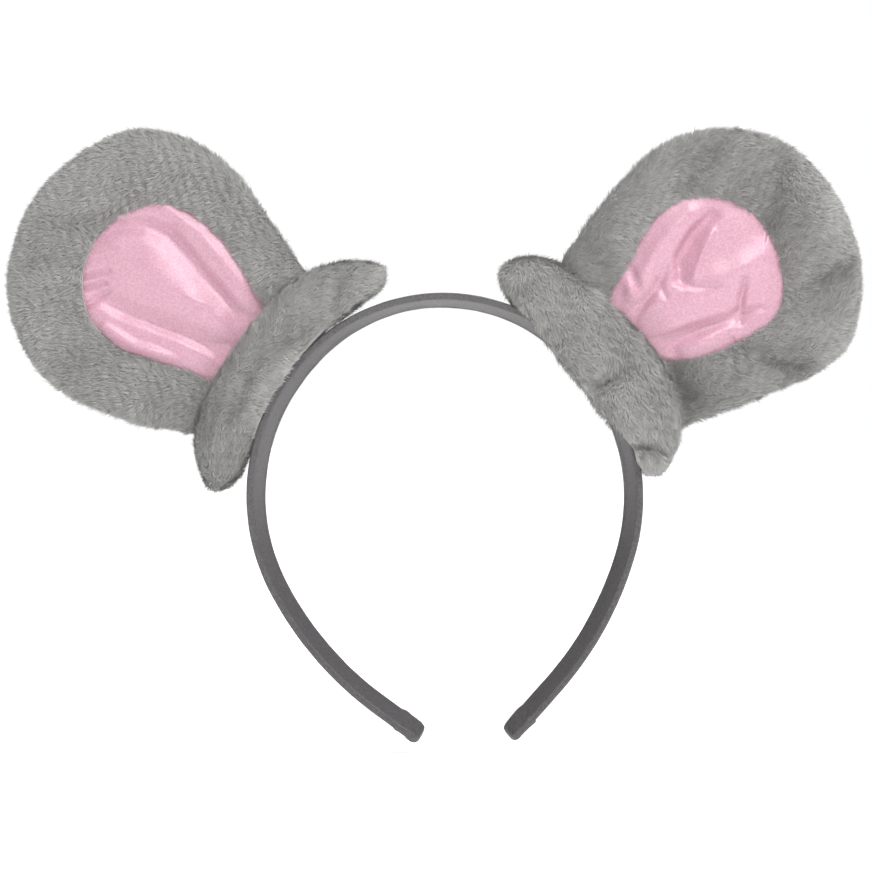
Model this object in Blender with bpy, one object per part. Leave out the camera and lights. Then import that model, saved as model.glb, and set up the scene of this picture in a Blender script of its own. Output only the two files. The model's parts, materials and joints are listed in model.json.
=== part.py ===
"""Animal ears headband: a satin-covered spring band that carries two plush ears with satin insides.

Frame, as worn: +X to the picture's right, +Y to the back of the head, +Z up. The origin is on the band's
inner face at the crown. Lengths are in millimetres until a mesh is made.
"""
import math

import bmesh
import bpy
import numpy as np

MM = 0.001
LEFT = -1
RIGHT = 1
SIDE_NAMES = {LEFT: "left", RIGHT: "right"}
BACKWARD = np.array([0.0, 1.0, 0.0])

# Band: the inner centre line is arcs (radius, turn) from the crown down each side, then a straight end
BAND_WIDTH = 12.0
CORE_THICKNESS = 1.6
COVER_THICKNESS = 0.45
COVER_GAP = 0.25
TOTAL_THICKNESS = CORE_THICKNESS + 2.0 * (COVER_THICKNESS + COVER_GAP)
CROWN_RADIUS = 59.8
CROWN_TURN = math.radians(32.7)
SIDE_RADIUS = 66.6
SIDE_TURN = math.radians(78.9)
LOWER_RADIUS = 114.7
LOWER_TURN = math.radians(26.0)
LEAN = math.radians(5.9)
ARM_LENGTH = {LEFT: 202.5, RIGHT: 194.5}
FLARE_CROWN = math.radians(9.5)
FLARE_SIDE = math.radians(17.0)
FLARE_START = 10.0
FLARE_END = 60.0
CROWN_FACET = 3.0
STATION_STEP = 5.0
EDGE_CHAMFER = 0.5

# Arm hinges: where the bending of the one-piece strip is gathered, under the lower end of each cuff
HINGE_LENGTH = {LEFT: 87.0, RIGHT: 77.0}
HINGE_GAP = 0.6
SPREAD_LIMIT = math.radians(15.0)

# Folded satin ends
TIP_LENGTH = 10.0
TIP_THICKNESS = 0.8
TIP_ROUNDING = 3.0

# Each ear's own frame: u runs along the cuff, v points away from the band, d points to the viewer
EAR_MIDDLE = {LEFT: (-50.0, -24.6), RIGHT: (48.0, -20.6)}
EAR_TILT = {LEFT: math.radians(52.6), RIGHT: math.radians(52.1)}
EAR_HINGE_HEIGHT = 20.0
EAR_FOLD_LIMIT = math.radians(45.0)

EAR_OUTLINE = {
    LEFT: [(28, 18), (33, 25.5), (38, 40), (43, 57), (43, 76), (36, 93), (21, 103.3), (1, 108.3),
           (-20, 105.3), (-39, 94), (-51, 75), (-52.5, 55), (-46, 34), (-39.5, 22), (-35, 18), (-18, 18),
           (10, 18)],
    RIGHT: [(36, 18), (41, 25), (46.5, 42), (51, 60), (50, 76), (39, 90), (22, 100), (1, 104.2),
            (-20, 100), (-36, 86), (-43.5, 66), (-41.5, 46), (-35.5, 27), (-29, 18), (-12, 18), (18, 18)],
}
INSERT_OUTLINE = {
    LEFT: [(11, 24), (17.5, 33), (22, 46), (23.5, 60), (19, 72.5), (9, 81), (-3, 83), (-17, 79),
           (-27, 68.5), (-29, 55), (-25.5, 40), (-21, 29.5), (-16, 24), (-3, 24)],
    RIGHT: [(19, 24), (23, 31), (26, 44), (27.5, 57), (23, 68), (11, 75), (-3, 77.5), (-16, 72.5),
            (-24.5, 61), (-25, 46), (-19, 33), (-11, 24), (4, 24)],
}
EAR_CENTRE = {LEFT: (-3.0, 56.0), RIGHT: (2.0, 54.0)}

# Ear layers, as half thicknesses and gaps measured from the ear's middle plane
EAR_RIM_HALF = 1.3
EAR_RIM_ROUND = 0.7
EAR_RIM_ROUND_WIDTH = 2.0
EAR_PUFF = 2.0
EAR_PUFF_WIDTH = 12.0
PANEL_GAP_RIM = 0.2
PANEL_GAP_RISE = 1.9
PANEL_GAP_START = 1.0
LAYER_GAP = 0.3
SATIN_THICKNESS = 0.45
INSERT_MARGIN = 1.5
WADDING_INSET = 9.0
RIM_SEAM_INSET = 5.2
SEAM_RADIUS = 0.3
RIM_SEAM_FOOT = 26.0
EAR_STEPS = 48
OUTLINE_SAMPLES_PER_SPAN = 24

# Cuffs: (u, lowest v, highest v) stations, a depth, and the hollow for the filling roll
CUFF_STATIONS = {
    LEFT: [(-47.5, -2.2, 1.5), (-45, -4, 7), (-38, -5, 15), (-28, -2.5, 20), (-12, 1.5, 22.3),
           (4, 2.5, 22.8), (20, 1, 21.8), (32, -2, 18), (41, -3.6, 10.5), (46, -1.5, 4)],
    RIGHT: [(-42.5, -2.5, 3), (-40, -4.5, 8), (-33, -6, 14.5), (-20, -6.8, 18.5), (-5, -7, 21),
            (10, -7, 22), (23, -6.8, 20.7), (34, -6.8, 15.5), (40.5, -6.8, 9), (43.5, -3, 3.5)],
}
CUFF_HALF_DEPTH = 11.5
CUFF_ROUNDNESS = 2.4
CUFF_SECTIONS = 25
CUFF_SIDES = 24
CHANNEL_REACH = 30.0
CHANNEL_SIDE_GAP = 0.5
CHANNEL_ROOF_GAP = 1.1
ARM_CHANNEL_LENGTH = 45.0
GLUE_LENGTH = 28.0
GLUE_WIDTH = 7.0
GLUE_THICKNESS = 0.5
ROLL_HALF_LENGTH = 29.0
ROLL_TOP = 12.8
ROLL_FLOOR = 1.9
ROLL_HALF_DEPTH = 5.4
ROLL_GAP = 0.7
ROLL_MOUTH = 2.5
ROLL_SIDES = 12
ROLL_END_TURN = 1.35
ROLL_BLUNTNESS = 0.6
ROLL_SECTIONS = 11
GROOVE_RADIUS = 3.9
GROOVE_REACH = 14.0
GROOVE_HALF_LENGTH = 60.0
GROOVE_STEPS = 6
BASE_SEAM_DEPTH = 3.3

PLUSH_GREY = (0.31, 0.30, 0.29, 1.0)
SATIN_GREY = (0.16, 0.15, 0.155, 1.0)
SATIN_PINK = (0.78, 0.47, 0.57, 1.0)
CORE_GREY = (0.05, 0.05, 0.055, 1.0)
WADDING_WHITE = (0.85, 0.85, 0.83, 1.0)
GLUE_CLEAR = (0.80, 0.76, 0.66, 1.0)


def clear_scene():
    for item in list(bpy.data.objects):
        bpy.data.objects.remove(item, do_unlink=True)


def material(name, colour, roughness):
    made = bpy.data.materials.new(name)
    made.use_nodes = True
    shader = made.node_tree.nodes["Principled BSDF"]
    shader.inputs["Base Color"].default_value = colour
    shader.inputs["Roughness"].default_value = roughness
    shader.inputs["Metallic"].default_value = 0.0
    made.diffuse_color = colour
    return made


def smoothstep(value):
    held = min(max(value, 0.0), 1.0)
    return held * held * (3.0 - 2.0 * held)


# ---- meshes from points in millimetres ----

def make_object(name, points, faces, origin, colour=None, roughness=0.9, smooth=True):
    """A closed mesh object with its faces outward and its origin at the given point."""
    mesh = bpy.data.meshes.new(name)
    mesh.from_pydata([tuple((np.asarray(p) - origin) * MM) for p in points], [], faces)
    tool = bmesh.new()
    tool.from_mesh(mesh)
    bmesh.ops.recalc_face_normals(tool, faces=tool.faces)
    tool.to_mesh(mesh)
    tool.free()
    item = bpy.data.objects.new(name, mesh)
    item.location = tuple(np.asarray(origin) * MM)
    bpy.context.collection.objects.link(item)
    if colour:
        mesh.materials.append(material(name, colour, roughness))
    for face in mesh.polygons:
        face.use_smooth = smooth
    return item


def skin_faces(ring_count, ring_size, first=0):
    """Quads between successive rings of points."""
    faces = []
    for ring in range(ring_count - 1):
        for k in range(ring_size):
            a = first + ring * ring_size + k
            b = first + ring * ring_size + (k + 1) % ring_size
            faces.append((a, b, b + ring_size, a + ring_size))
    return faces


def solid_loft(name, rings, origin, **look):
    """A solid through rings of points, capped at both ends."""
    size = len(rings[0])
    points = [p for ring in rings for p in ring]
    faces = skin_faces(len(rings), size)
    last = (len(rings) - 1) * size
    faces.append(tuple(range(size)))
    faces.append(tuple(range(last, last + size)))
    return make_object(name, points, faces, origin, **look)


def sleeve_loft(name, outer, inner, origin, closed_end=False, **look):
    """A tube with a wall between two skins. closed_end caps the far end of both skins."""
    size = len(outer[0])
    points = [p for ring in outer + inner for p in ring]
    first_inner = len(outer) * size
    faces = skin_faces(len(outer), size) + skin_faces(len(inner), size, first_inner)
    last_outer = first_inner - size
    last_inner = len(points) - size
    for k in range(size):
        n = (k + 1) % size
        faces.append((k, n, first_inner + n, first_inner + k))
        if not closed_end:
            faces.append((last_outer + k, last_outer + n, last_inner + n, last_inner + k))
    if closed_end:
        faces.append(tuple(range(last_outer, last_outer + size)))
        faces.append(tuple(range(last_inner, last_inner + size)))
    return make_object(name, points, faces, origin, **look)


def thread_ring(point, along, up, radius, sides=5):
    """A ring of points around a thread, square to its direction."""
    along = along / np.linalg.norm(along)
    across = np.cross(along, up)
    across = across / np.linalg.norm(across)
    lift = np.cross(across, along)
    turns = [2.0 * math.pi * k / sides for k in range(sides)]
    return [point + radius * (math.cos(t) * across + math.sin(t) * lift) for t in turns]


def thread(name, path, up, radius, origin, closed, **look):
    """A thread along a path, either a closed loop or with two capped ends."""
    count = len(path)
    rings = []
    for k, point in enumerate(path):
        before = path[k - 1] if closed or k > 0 else point
        after = path[(k + 1) % count] if closed or k < count - 1 else point
        rings.append(thread_ring(point, after - before, up, radius))
    if not closed:
        return solid_loft(name, rings, origin, **look)
    size = len(rings[0])
    faces = skin_faces(count, size)
    last = (count - 1) * size
    for k in range(size):
        n = (k + 1) % size
        faces.append((last + k, last + n, n, k))
    return make_object(name, [p for ring in rings for p in ring], faces, origin, **look)


def cut(target, cutter):
    """Takes the cutter's volume out of the target."""
    cutter.hide_render = True
    cutter.display_type = "WIRE"
    step = target.modifiers.new(cutter.name, "BOOLEAN")
    step.operation = "DIFFERENCE"
    step.solver = "EXACT"
    step.object = cutter


# ---- band ----

def curve_point(length):
    """The point and turn of the band's inner centre line. Negative lengths run down the left side."""
    side = LEFT if length < 0 else RIGHT
    left_over = abs(length)
    x = z = turn = 0.0
    arcs = [(CROWN_RADIUS, CROWN_TURN - side * LEAN), (SIDE_RADIUS, SIDE_TURN), (LOWER_RADIUS, LOWER_TURN)]
    for radius, sweep in arcs:
        step = min(sweep, left_over / radius)
        x += radius * (math.sin(turn + step) - math.sin(turn))
        z += radius * (math.cos(turn + step) - math.cos(turn))
        turn += step
        left_over -= step * radius
    x += left_over * math.cos(turn)
    z -= left_over * math.sin(turn)
    return np.array([side * x, 0.0, z]), side * turn


CROWN_DROP = curve_point(CROWN_FACET)[0][2]


def band_frame(length):
    """The inner centre point, the backward direction across the strip and its outward direction."""
    point, turn = curve_point(length)
    outward = np.array([math.sin(turn), 0.0, math.cos(turn)])
    rise = smoothstep((abs(length) - FLARE_START) / (FLARE_END - FLARE_START))
    flare = FLARE_CROWN + (FLARE_SIDE - FLARE_CROWN) * rise
    across = BACKWARD * math.cos(flare) - outward * math.sin(flare)
    through = outward * math.cos(flare) + BACKWARD * math.sin(flare)
    return point - np.array([0.0, 0.0, CROWN_DROP]), across, through


def strip_section(length, half_width, low, high, chamfer=EDGE_CHAMFER):
    """A strip's cross-section at one place along the band, with its corners cut off."""
    point, across, through = band_frame(length)
    corners = [
        (-half_width, low + chamfer), (-half_width + chamfer, low), (half_width - chamfer, low),
        (half_width, low + chamfer), (half_width, high - chamfer), (half_width - chamfer, high),
        (-half_width + chamfer, high), (-half_width, high - chamfer),
    ]
    return [point + a * across + b * through for a, b in corners]


def stations(start, end, step=STATION_STEP):
    """Evenly spaced places along the band, with one flat facet across the crown."""
    if start < 0.0 < end:
        return stations(start, -CROWN_FACET, step) + stations(CROWN_FACET, end, step)
    count = max(2, math.ceil(abs(end - start) / step) + 1)
    return list(np.linspace(start, end, count))


def core_sections(places):
    low = COVER_THICKNESS + COVER_GAP
    half = BAND_WIDTH / 2.0 - low
    return [strip_section(s, half, low, low + CORE_THICKNESS) for s in places]


def cover_sections(places):
    outer = [strip_section(s, BAND_WIDTH / 2.0, 0.0, TOTAL_THICKNESS) for s in places]
    low = COVER_THICKNESS
    inner = [strip_section(s, BAND_WIDTH / 2.0 - low, low, TOTAL_THICKNESS - low) for s in places]
    return outer, inner


def arm_pivot(side):
    """The arm's hinge line: at the strip's outermost edge, so that spreading only opens the joint."""
    point, across, through = band_frame(side * HINGE_LENGTH[side])
    edge = point - across * (BAND_WIDTH / 2.0) + through * TOTAL_THICKNESS
    return np.array([edge[0], 0.0, edge[2]])


def build_crown():
    places = stations(-HINGE_LENGTH[LEFT] + HINGE_GAP / 2.0, HINGE_LENGTH[RIGHT] - HINGE_GAP / 2.0)
    origin = np.zeros(3)
    solid_loft("band_core_crown", core_sections(places), origin, colour=CORE_GREY, roughness=0.5)
    outer, inner = cover_sections(places)
    sleeve_loft("satin_cover_crown", outer, inner, origin, colour=SATIN_GREY, roughness=0.4)


def tip_section(length, end, wall_out, half_extra):
    """The folded end's cross-section, drawn in as it nears the end."""
    into = max(0.0, TIP_ROUNDING - abs(end - length))
    narrowing = TIP_ROUNDING - math.sqrt(max(TIP_ROUNDING ** 2 - into ** 2, 0.0))
    half = BAND_WIDTH / 2.0 - COVER_THICKNESS + half_extra - narrowing
    thinning = 0.35 * narrowing
    low = COVER_THICKNESS - wall_out + thinning
    return strip_section(length, half, low, TOTAL_THICKNESS - low)


def build_tip(side, end, origin):
    """The satin's folded and glued end: a deep cap over the end of the core."""
    start = end - side * TIP_LENGTH
    round_places = [end - side * TIP_ROUNDING * share for share in (0.75, 0.5, 0.3, 0.15, 0.03)]
    places = stations(start, end - side * TIP_ROUNDING, 3.5) + round_places
    outer = [tip_section(s, end, TIP_THICKNESS, TIP_THICKNESS) for s in places]
    inner_end = end - side * (TIP_THICKNESS + 0.7)
    inner = [tip_section(s, end + side * TIP_LENGTH, 0.0, 0.0) for s in stations(start, inner_end, 3.5)]
    name = "satin_tip_" + SIDE_NAMES[side]
    sleeve_loft(name, outer, inner, origin, closed_end=True, colour=SATIN_GREY, roughness=0.45)
    return inner_end - side * COVER_GAP


def build_arm(side):
    origin = arm_pivot(side)
    end = side * ARM_LENGTH[side]
    core_end = build_tip(side, end, origin)
    start = side * (HINGE_LENGTH[side] + HINGE_GAP / 2.0)
    name = SIDE_NAMES[side]
    core = core_sections(stations(start, core_end))
    solid_loft("band_core_arm_" + name, core, origin, colour=CORE_GREY, roughness=0.5)
    outer, inner = cover_sections(stations(start, end - side * (TIP_LENGTH + LAYER_GAP)))
    sleeve_loft("satin_cover_arm_" + name, outer, inner, origin, colour=SATIN_GREY, roughness=0.4)


# ---- ear frame and outlines ----

def ear_axes(side):
    """Directions of u, v and d in the part's frame."""
    along = np.array([math.cos(EAR_TILT[side]), 0.0, -side * math.sin(EAR_TILT[side])])
    away = np.array([side * math.sin(EAR_TILT[side]), 0.0, math.cos(EAR_TILT[side])])
    return along, away, -BACKWARD


def ear_point(side, u, v, d):
    along, away, front = ear_axes(side)
    middle = np.array([EAR_MIDDLE[side][0], 0.0, EAR_MIDDLE[side][1]])
    return middle + u * along + v * away + d * front


def ear_pivot(side):
    return ear_point(side, 0.0, EAR_HINGE_HEIGHT, 0.0)


def closed_curve(controls):
    """A smooth closed curve through the control points (Catmull-Rom)."""
    knots = np.array(controls, float)
    samples = []
    for k in range(len(knots)):
        a, b, c, d = (knots[(k + shift) % len(knots)] for shift in (-1, 0, 1, 2))
        for t in np.arange(OUTLINE_SAMPLES_PER_SPAN) / OUTLINE_SAMPLES_PER_SPAN:
            samples.append(0.5 * (2 * b + (c - a) * t + (2 * a - 5 * b + 4 * c - d) * t ** 2
                                  + (3 * b - a - 3 * c + d) * t ** 3))
    return np.array(samples)


def radii_about(centre, curve, angles):
    """The curve's distance from the centre at each angle."""
    offsets = curve - np.array(centre)
    bearings = np.arctan2(offsets[:, 1], offsets[:, 0])
    order = np.argsort(bearings)
    return np.interp(angles, bearings[order], np.hypot(*offsets.T)[order], period=2.0 * math.pi)


def inset_of(point, curve):
    """How far inside the outline a point lies."""
    return float(np.hypot(*(curve - np.array(point)).T).min())


def panel_half(inset):
    """Half the ear's thickness at a distance inside its rim."""
    rounding = EAR_RIM_ROUND * math.sqrt(min(inset / EAR_RIM_ROUND_WIDTH, 1.0))
    return EAR_RIM_HALF + rounding + EAR_PUFF * smoothstep(inset / EAR_PUFF_WIDTH)


def panel_gap(inset):
    """Half the room between the two plush panels at a distance inside the rim."""
    reach = EAR_PUFF_WIDTH - PANEL_GAP_START
    return PANEL_GAP_RIM + PANEL_GAP_RISE * smoothstep((inset - PANEL_GAP_START) / reach)


def satin_back(inset):
    return panel_gap(inset) - LAYER_GAP - SATIN_THICKNESS


def wadding_top(inset):
    return satin_back(inset) - 2.0 * SEAM_RADIUS - 2.0 * LAYER_GAP


def layer(name, side, inner_radii, outer_radii, steps, front, back, colour, roughness):
    """One sheet of the ear between two outlines. front and back give its faces' depth from the inset.

    inner_radii None makes a full disc.
    """
    outline = closed_curve(EAR_OUTLINE[side])
    centre = np.array(EAR_CENTRE[side])
    angles = np.linspace(0.0, 2.0 * math.pi, EAR_STEPS, endpoint=False)
    directions = np.stack([np.cos(angles), np.sin(angles)], 1)
    hub = np.zeros(EAR_STEPS) if inner_radii is None else inner_radii
    start = 1 if inner_radii is None else 0
    shares = [(k / steps) for k in range(start, steps + 1)]
    rings = [centre + directions * (hub + (outer_radii - hub) * share)[:, None] for share in shares]
    points = []
    for face in (front, back):
        for ring in rings:
            points += [ear_point(side, u, v, face(inset_of((u, v), outline))) for u, v in ring]
    count = len(rings)
    half = count * EAR_STEPS
    faces = skin_faces(count, EAR_STEPS) + skin_faces(count, EAR_STEPS, half)
    rim = half - EAR_STEPS
    for k in range(EAR_STEPS):
        n = (k + 1) % EAR_STEPS
        faces.append((rim + k, rim + n, half + rim + n, half + rim + k))
        if inner_radii is not None:
            faces.append((k, n, half + n, half + k))
    if inner_radii is None:
        middle_inset = inset_of(centre, outline)
        points += [ear_point(side, *centre, face(middle_inset)) for face in (front, back)]
        for hub_index, first in ((len(points) - 2, 0), (len(points) - 1, half)):
            faces += [(hub_index, first + k, first + (k + 1) % EAR_STEPS) for k in range(EAR_STEPS)]
    name = name + "_" + SIDE_NAMES[side]
    return make_object(name, points, faces, ear_pivot(side), colour, roughness)


def shrunk(side, radii, amount):
    """Radii drawn in until each point is at least the given distance inside the ear's outline."""
    outline = closed_curve(EAR_OUTLINE[side])
    centre = np.array(EAR_CENTRE[side])
    angles = np.linspace(0.0, 2.0 * math.pi, EAR_STEPS, endpoint=False)
    drawn = []
    for angle, radius in zip(angles, radii):
        ray = np.array([math.cos(angle), math.sin(angle)])
        while inset_of(centre + ray * radius, outline) < amount:
            radius -= 0.1
        drawn.append(radius)
    return np.array(drawn)


def build_ear(side):
    """The layers that swing together: two plush panels, the satin, the wadding and their seams."""
    angles = np.linspace(0.0, 2.0 * math.pi, EAR_STEPS, endpoint=False)
    rim = radii_about(EAR_CENTRE[side], closed_curve(EAR_OUTLINE[side]), angles)
    hole = radii_about(EAR_CENTRE[side], closed_curve(INSERT_OUTLINE[side]), angles)
    name = SIDE_NAMES[side]
    layer("ear_back", side, None, rim, 5,
          lambda e: -panel_gap(e), lambda e: -panel_half(e), PLUSH_GREY, 0.95)
    layer("ear_front_ring", side, hole, rim, 4,
          panel_half, panel_gap, PLUSH_GREY, 0.95)
    layer("satin_insert", side, None, hole + INSERT_MARGIN, 3,
          lambda e: panel_gap(e) - LAYER_GAP, satin_back, SATIN_PINK, 0.35)
    layer("ear_wadding", side, None, shrunk(side, rim, WADDING_INSET), 3,
          wadding_top, lambda e: LAYER_GAP - panel_gap(e), WADDING_WHITE, 1.0)
    outline = closed_curve(EAR_OUTLINE[side])
    centre = np.array(EAR_CENTRE[side])
    rim_path = []
    for angle, radius in zip(angles, shrunk(side, rim, RIM_SEAM_INSET)):
        u, v = centre + radius * np.array([math.cos(angle), math.sin(angle)])
        rim_path.append((angle, u, v))
    turned = sorted(((angle - 1.5 * math.pi) % (2.0 * math.pi), u, v) for angle, u, v in rim_path)
    seam = [ear_point(side, u, v, 0.0) for angle, u, v in turned if v > RIM_SEAM_FOOT]
    thread("rim_seam_" + name, seam, -BACKWARD, SEAM_RADIUS, ear_pivot(side), False,
           colour=PLUSH_GREY, roughness=0.8)
    ring = []
    for angle, radius in zip(angles, hole + INSERT_MARGIN / 2.0):
        u, v = centre + radius * np.array([math.cos(angle), math.sin(angle)])
        depth = satin_back(inset_of((u, v), outline)) - LAYER_GAP - SEAM_RADIUS
        ring.append(ear_point(side, u, v, depth))
    thread("satin_seam_" + name, ring, -BACKWARD, SEAM_RADIUS, ear_pivot(side), True,
           colour=SATIN_PINK, roughness=0.8)


# ---- cuffs ----

def band_in_ear_frame(side):
    """Lengths along the band with the u and v of its outer face, from the crown to the arm."""
    along, away, _ = ear_axes(side)
    middle = ear_point(side, 0.0, 0.0, 0.0)
    lengths = np.linspace(0.0, 110.0, 111)
    rows = []
    for length in lengths:
        point, _, through = band_frame(side * length)
        offset = point + through * TOTAL_THICKNESS - middle
        rows.append((length, offset @ along, offset @ away))
    return np.array(rows)


def band_middle_under(side):
    """The length along the band under the middle of the cuff, and the height v of its outer face."""
    rows = band_in_ear_frame(side)
    rows = rows[np.argsort(rows[:, 1])]
    return np.interp(0.0, rows[:, 1], rows[:, 0]), np.interp(0.0, rows[:, 1], rows[:, 2])


def boat_ring(side, u, low, high, half_depth, sides, power=CUFF_ROUNDNESS):
    """A rounded section across the cuff at u, between two heights."""
    middle = (low + high) / 2.0
    half = (high - low) / 2.0
    ring = []
    for k in range(sides):
        angle = 2.0 * math.pi * (k + 0.5) / sides
        c, s = math.cos(angle), math.sin(angle)
        d = half_depth * math.copysign(abs(c) ** (2.0 / power), c)
        v = middle + half * math.copysign(abs(s) ** (2.0 / power), s)
        ring.append(ear_point(side, u, v, d))
    return ring


def build_cuff_body(side):
    rows = np.array(CUFF_STATIONS[side], float)
    turns = np.linspace(-math.pi / 2.0, math.pi / 2.0, CUFF_SECTIONS)
    middle = (rows[0, 0] + rows[-1, 0]) / 2.0
    reach = (rows[-1, 0] - rows[0, 0]) / 2.0
    rings = []
    for turn in turns:
        u = middle + reach * math.sin(turn)
        low = np.interp(u, rows[:, 0], rows[:, 1])
        high = np.interp(u, rows[:, 0], rows[:, 2])
        depth = CUFF_HALF_DEPTH * (0.25 + 0.75 * math.sqrt(max(math.cos(turn), 0.0)))
        rings.append(boat_ring(side, u, low, high, min(depth, 0.9 * (high - low)), CUFF_SIDES))
    return solid_loft("ear_cuff_" + SIDE_NAMES[side], rings, np.zeros(3), colour=PLUSH_GREY, roughness=0.95)


def channel_section(length):
    return strip_section(length, BAND_WIDTH / 2.0 + CHANNEL_SIDE_GAP, -CHANNEL_REACH,
                         TOTAL_THICKNESS + CHANNEL_ROOF_GAP)


def turned_about(point, pivot, angle):
    """A point turned about a line through the pivot along Y, by the right-hand rule about +Y."""
    offset = point - pivot
    c, s = math.cos(angle), math.sin(angle)
    return pivot + np.array([c * offset[0] + s * offset[2], offset[1], c * offset[2] - s * offset[0]])


def cut_channels(side, cuff):
    """Room for the band under the cuff, and for the arm to spread."""
    name = SIDE_NAMES[side]
    hinge = side * HINGE_LENGTH[side]
    crown = [channel_section(s) for s in stations(side * CROWN_FACET, hinge + side)]
    cut(cuff, solid_loft("cut_crown_" + name, crown, np.zeros(3)))
    pivot = arm_pivot(side)
    arm = [channel_section(s) for s in stations(hinge - side, hinge + side * ARM_CHANNEL_LENGTH)]
    cut(cuff, solid_loft("cut_arm_" + name, arm, np.zeros(3)))
    spread = [[turned_about(p, pivot, -side * SPREAD_LIMIT) for p in ring] for ring in arm]
    cut(cuff, solid_loft("cut_spread_" + name, spread, np.zeros(3)))


def roll_rings(side, grow, drop):
    """The filling roll's sections, or the hollow around it when grown and dropped towards the band."""
    _, floor = band_middle_under(side)
    middle = (floor + ROLL_FLOOR + ROLL_TOP) / 2.0
    half = (ROLL_TOP - floor - ROLL_FLOOR) / 2.0
    rings = []
    for turn in np.linspace(-ROLL_END_TURN, ROLL_END_TURN, ROLL_SECTIONS):
        u = (ROLL_HALF_LENGTH + grow) * math.sin(turn)
        size = math.cos(turn) ** ROLL_BLUNTNESS
        low = middle - half * size - grow - drop
        high = middle + half * size + grow
        rings.append(boat_ring(side, u, low, high, ROLL_HALF_DEPTH * size + grow, ROLL_SIDES))
    return rings


def cut_groove(side, cuff):
    """The open groove along the cuff in which the ear's base swings."""
    outline = []
    for angle in np.linspace(math.radians(225.0), math.radians(315.0), GROOVE_STEPS):
        outline.append((GROOVE_RADIUS * math.cos(angle), GROOVE_RADIUS * math.sin(angle)))
    edge = GROOVE_RADIUS * math.sin(EAR_FOLD_LIMIT)
    outline.append((edge + GROOVE_REACH, GROOVE_REACH - edge))
    outline.append((-edge - GROOVE_REACH, GROOVE_REACH - edge))
    rings = []
    for u in (-GROOVE_HALF_LENGTH, GROOVE_HALF_LENGTH):
        rings.append([ear_point(side, u, EAR_HINGE_HEIGHT + v, d) for d, v in outline])
    cut(cuff, solid_loft("cut_groove_" + SIDE_NAMES[side], rings, np.zeros(3)))


def build_cuff(side):
    """The plush cuff that stays on the band, with its filling, the glue under it and the ear's base seam."""
    name = SIDE_NAMES[side]
    cuff = build_cuff_body(side)
    cut_channels(side, cuff)
    cut(cuff, solid_loft("cut_hollow_" + name, roll_rings(side, ROLL_GAP, ROLL_MOUTH), np.zeros(3)))
    cut_groove(side, cuff)
    solid_loft("cuff_filling_" + name, roll_rings(side, 0.0, 0.0), np.zeros(3),
               colour=WADDING_WHITE, roughness=1.0)
    middle, _ = band_middle_under(side)
    low = TOTAL_THICKNESS + LAYER_GAP
    places = stations(side * (middle - GLUE_LENGTH / 2.0), side * (middle + GLUE_LENGTH / 2.0))
    glue = [strip_section(s, GLUE_WIDTH / 2.0, low, low + GLUE_THICKNESS, 0.15) for s in places]
    solid_loft("cuff_glue_" + name, glue, np.zeros(3), colour=GLUE_CLEAR, roughness=0.3)
    foot = [u for u, v in EAR_OUTLINE[side] if v < EAR_HINGE_HEIGHT]
    seam = [ear_point(side, u, EAR_HINGE_HEIGHT - BASE_SEAM_DEPTH, 0.0) for u in (min(foot), max(foot))]
    thread("base_seam_" + name, seam, BACKWARD, SEAM_RADIUS, np.zeros(3), False,
           colour=PLUSH_GREY, roughness=0.8)


clear_scene()
build_crown()
for ear_side in (LEFT, RIGHT):
    build_arm(ear_side)
    build_cuff(ear_side)
    build_ear(ear_side)
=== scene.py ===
"""Looks of the animal ears headband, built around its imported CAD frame: satin band, plush ears and cuffs.

Everything is in metres in the part's frame. Each ear has its own frame, taken from its fold joint:
u runs along the cuff, v points away from the band and d points to the viewer, all in millimetres.
"""
import json
import math

import bmesh
import bpy
import numpy as np
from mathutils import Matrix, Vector


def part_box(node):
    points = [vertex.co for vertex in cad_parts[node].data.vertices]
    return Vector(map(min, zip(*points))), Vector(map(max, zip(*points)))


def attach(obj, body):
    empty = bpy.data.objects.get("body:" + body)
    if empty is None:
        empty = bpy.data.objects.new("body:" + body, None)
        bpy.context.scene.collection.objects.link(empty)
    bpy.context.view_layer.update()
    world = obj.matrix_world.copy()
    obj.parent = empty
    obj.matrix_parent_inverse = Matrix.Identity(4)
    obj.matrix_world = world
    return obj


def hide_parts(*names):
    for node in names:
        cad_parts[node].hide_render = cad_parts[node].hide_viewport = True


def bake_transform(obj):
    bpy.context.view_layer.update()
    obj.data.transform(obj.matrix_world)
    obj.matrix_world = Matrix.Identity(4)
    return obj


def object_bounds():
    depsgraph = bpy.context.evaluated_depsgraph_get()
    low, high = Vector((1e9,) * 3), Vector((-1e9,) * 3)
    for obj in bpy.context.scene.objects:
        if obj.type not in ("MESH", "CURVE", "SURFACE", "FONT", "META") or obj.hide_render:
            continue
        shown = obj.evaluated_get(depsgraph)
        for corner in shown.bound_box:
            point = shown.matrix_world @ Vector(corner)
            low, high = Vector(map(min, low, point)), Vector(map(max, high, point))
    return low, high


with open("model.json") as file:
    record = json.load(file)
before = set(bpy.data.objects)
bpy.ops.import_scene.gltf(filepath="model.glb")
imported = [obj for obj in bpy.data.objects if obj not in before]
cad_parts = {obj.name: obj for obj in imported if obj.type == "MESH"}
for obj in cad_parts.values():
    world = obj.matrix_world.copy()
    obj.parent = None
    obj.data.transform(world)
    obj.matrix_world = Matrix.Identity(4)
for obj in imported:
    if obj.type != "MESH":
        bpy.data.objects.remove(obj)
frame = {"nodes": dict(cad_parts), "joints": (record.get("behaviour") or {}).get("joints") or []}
cad_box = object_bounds()

MM = 0.001
SIDES = {"left": -1, "right": 1}
JOINTS = {joint["name"]: joint for joint in frame["joints"]}
FRONT = np.array([0.0, -1.0, 0.0])
HINGE_V = 20.0

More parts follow.
